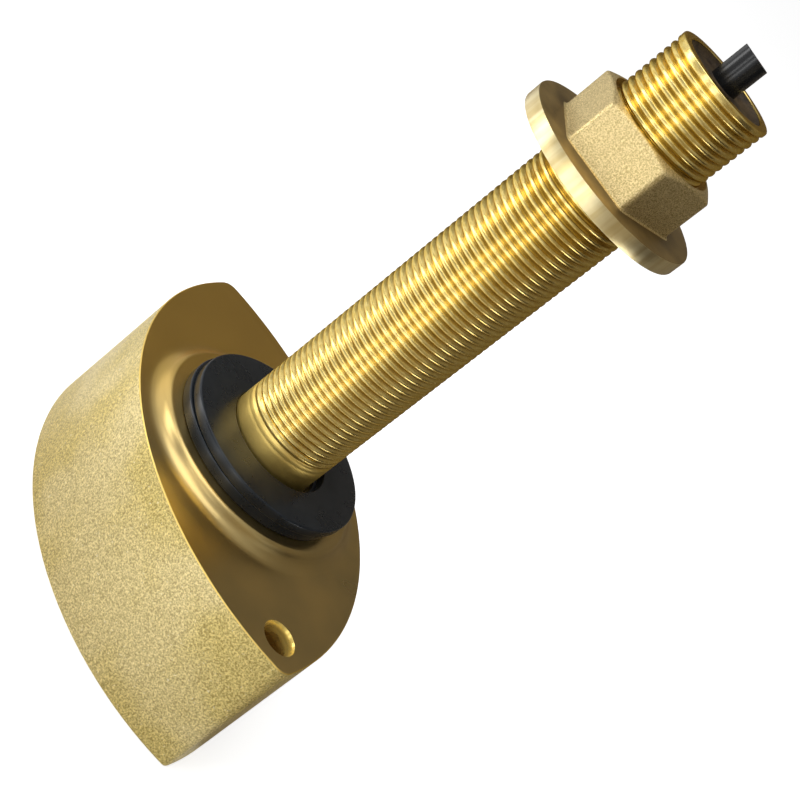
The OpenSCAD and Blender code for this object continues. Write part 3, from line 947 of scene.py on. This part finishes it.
floor_bm = bmesh.new()
bmesh.ops.create_grid(floor_bm, x_segments=1, y_segments=1, size=FLOOR_REACH)
floor_mesh = to_mesh(floor_bm, "floor")
ground = add_object("floor", floor_mesh)
floor_paint = Finish("floor_paint", roughness=1.0, specular_ior_level=0.0, emission_strength=FLOOR_GLOW)
floor_paint.drive("Base Color", rgb(0.90, 0.90, 0.90))
to_camera = floor_paint.node("ShaderNodeLightPath", out="Is Camera Ray")
to_metal = floor_paint.node("ShaderNodeLightPath", out="Is Glossy Ray")
floor_paint.drive("Emission Color", to_camera + IN_METAL * to_metal)
floor_mesh.materials.append(floor_paint.material)
print("floor glows", FLOOR_GLOW, "to the camera")

# %% World
AMBIENT = 0.45
MIRRORED = 0.42

world = bpy.data.worlds.new("studio")
bpy.context.scene.world = world
world.use_nodes = True
sky = world.node_tree
rays = sky.nodes.new("ShaderNodeLightPath")
level = sky.nodes.new("ShaderNodeMapRange")
level.inputs["To Min"].default_value = AMBIENT
level.inputs["To Max"].default_value = MIRRORED
sky.links.new(rays.outputs["Is Glossy Ray"], level.inputs["Value"])
whole = sky.nodes.new("ShaderNodeMath")
whole.operation = "MAXIMUM"
sky.links.new(level.outputs[0], whole.inputs[0])
sky.links.new(rays.outputs["Is Camera Ray"], whole.inputs[1])
sky.links.new(whole.outputs[0], sky.nodes["Background"].inputs["Strength"])
sky.nodes["Background"].inputs["Color"].default_value = rgb(1, 1, 1)
print("world at", AMBIENT, "and at", MIRRORED, "in mirrors")

# %% [markdown]
# ## Lamps
# Polished metal shows its surroundings, so bright lines on the stem are lamps that it mirrors. Three tall strips
# stand on the left and in front, one for each line. A wide box on the left and one overhead light the matt walls.
# A lamp's power is worked out from how bright a mirror should show it, so its size can change freely.

# %% Lamps


def polar(heading, distance, height):
    """A place round the stem: heading in degrees from +X towards +Y."""
    return Vector((distance * cos(radians(heading)), distance * sin(radians(heading)), height))


def softbox(name, place, aim, width, height, radiance):
    """Area lamp of a given brightness, as a mirror would show it."""
    lamp = bpy.data.lights.new(name, "AREA")
    lamp.shape = "RECTANGLE"
    lamp.size = width
    lamp.size_y = height
    lamp.energy = radiance * pi * width * height
    add_object(name, lamp).matrix_world = turned_to(place, aim)


STRIP_FAR = 0.80
STRIP_TALL = 1.0
STRIPS = ((-122, 0.24, 3.4), (-69, 0.10, 3.0), (-43, 0.13, 2.8))  # heading, width, radiance
for strip, (heading, width, radiance) in enumerate(STRIPS):
    softbox("strip_%d" % strip, polar(heading, STRIP_FAR, STRIP_TALL / 2), Vector((0, 0, STRIP_TALL / 2)),
            width, STRIP_TALL, radiance)
softbox("left_box", polar(heading=-156, distance=0.9, height=0.5), aim=Vector((0, 0, 0.2)),
        width=0.36, height=0.9, radiance=0.6)
softbox("top_box", Vector((-0.1, -0.3, 1.5)), aim=Vector((0, 0, 0.1)), width=1.0, height=1.0, radiance=2.0)
print("lit by", len(bpy.data.lights), "lamps")

# %% [markdown]
# ## Cloths and cards
# Dark lines on the metal are things that it mirrors too. A grey and a dark cloth stand on the right and behind and
# reach over the floor to the part, and a low black skirt closes the space between them. Real sheets would cast
# shadows, so these show only in reflections. Each is an edge that is spun round the stem between two headings.

# %% Mirrored sheets
SHEET_STEPS = 12


def mirrored_sheet(name, sweeps, paint):
    """Sheets that only reflections show: each sweep spins one edge (distance, height) between two headings."""
    bm = bmesh.new()
    for start, end, near, far in sweeps:
        ends = [bm.verts.new(polar(start, *near)), bm.verts.new(polar(start, *far))]
        bmesh.ops.spin(bm, geom=ends + [bm.edges.new(ends)], cent=(0, 0, 0), axis=(0, 0, 1),
                       angle=radians(end - start), steps=SHEET_STEPS, use_merge=False)
    mesh = to_mesh(bm, name)
    mesh.materials.append(paint.material)
    sheet = add_object(name, mesh)
    sheet.visible_camera = False
    sheet.visible_diffuse = False
    sheet.visible_shadow = False


def hang_cloth(name, colour, sweeps):
    """Matt cloth of one colour."""
    paint = Finish(name, roughness=1.0, specular_ior_level=0.0)
    paint.drive("Base Color", colour)
    mirrored_sheet(name, sweeps, paint)


# %% Cloths
SCREEN_FAR = 0.42
SCREEN_TALL = 0.75
APRON_NEAR = 0.20
SLIT_END = 0.36
SKIRT_FAR = 0.41
SKIRT_TALL = 0.32
ABOVE_FLOOR = 0.001
screen_edge = ((SCREEN_FAR, ABOVE_FLOOR), (SCREEN_FAR, SCREEN_TALL))
apron_edge = ((APRON_NEAR, ABOVE_FLOOR), (SCREEN_FAR, ABOVE_FLOOR))
foot_edge = ((0.0, ABOVE_FLOOR), (APRON_NEAR, ABOVE_FLOOR))
slit_edge = ((SLIT_END, ABOVE_FLOOR), (SKIRT_FAR, ABOVE_FLOOR))
skirt_edge = ((SKIRT_FAR, ABOVE_FLOOR), (SKIRT_FAR, SKIRT_TALL))
GREY_SPAN = (-18, 22)
SLIT_SPAN = (22, 46)
SKIRT_SPAN = (22, 62)
DARK_SPAN = (46, 172)
FOOT_SPAN = (12, 172)

hang_cloth("grey_cloth", rgb(0.38, 0.33, 0.25),
           [GREY_SPAN + screen_edge, GREY_SPAN + apron_edge, FOOT_SPAN + foot_edge])
hang_cloth("black_cloth", rgb(0.07, 0.06, 0.05), [SKIRT_SPAN + skirt_edge, SLIT_SPAN + slit_edge])
hang_cloth("dark_cloth", rgb(0.19, 0.165, 0.13), [DARK_SPAN + screen_edge, DARK_SPAN + apron_edge])
print("cloths from", GREY_SPAN[0], "to", DARK_SPAN[1], "degrees")

# %% [markdown]
# The metal is seen from above, so the thread's lower flanks mirror the floor. Bright cards lie on it and carry
# each strip lamp on towards the stem. One more card lies in the slit between the cloths and draws the narrow light
# line on the right of the stem.

# %% Floor cards
CARD_NEAR = 0.10
CARD_SHARE = 0.7
SLIT_CARD = (34, 12, APRON_NEAR, SLIT_END, 3.2)  # heading, half its angle, near end, far end, glow

cards = [(heading, degrees(atan2(width / 2, STRIP_FAR)), CARD_NEAR, STRIP_FAR, CARD_SHARE * radiance)
         for heading, width, radiance in STRIPS] + [SLIT_CARD]
for card, (heading, half, near, far, glow) in enumerate(cards):
    card_glow = Finish("card_glow_%d" % card, emission_strength=glow)
    card_glow.drive("Emission Color", rgb(1, 1, 1))
    card_edge = ((near, ABOVE_FLOOR), (far, ABOVE_FLOOR))
    mirrored_sheet("floor_card_%d" % card, [(heading - half, heading + half) + card_edge], card_glow)
print("laid", len(cards), "cards on the floor")
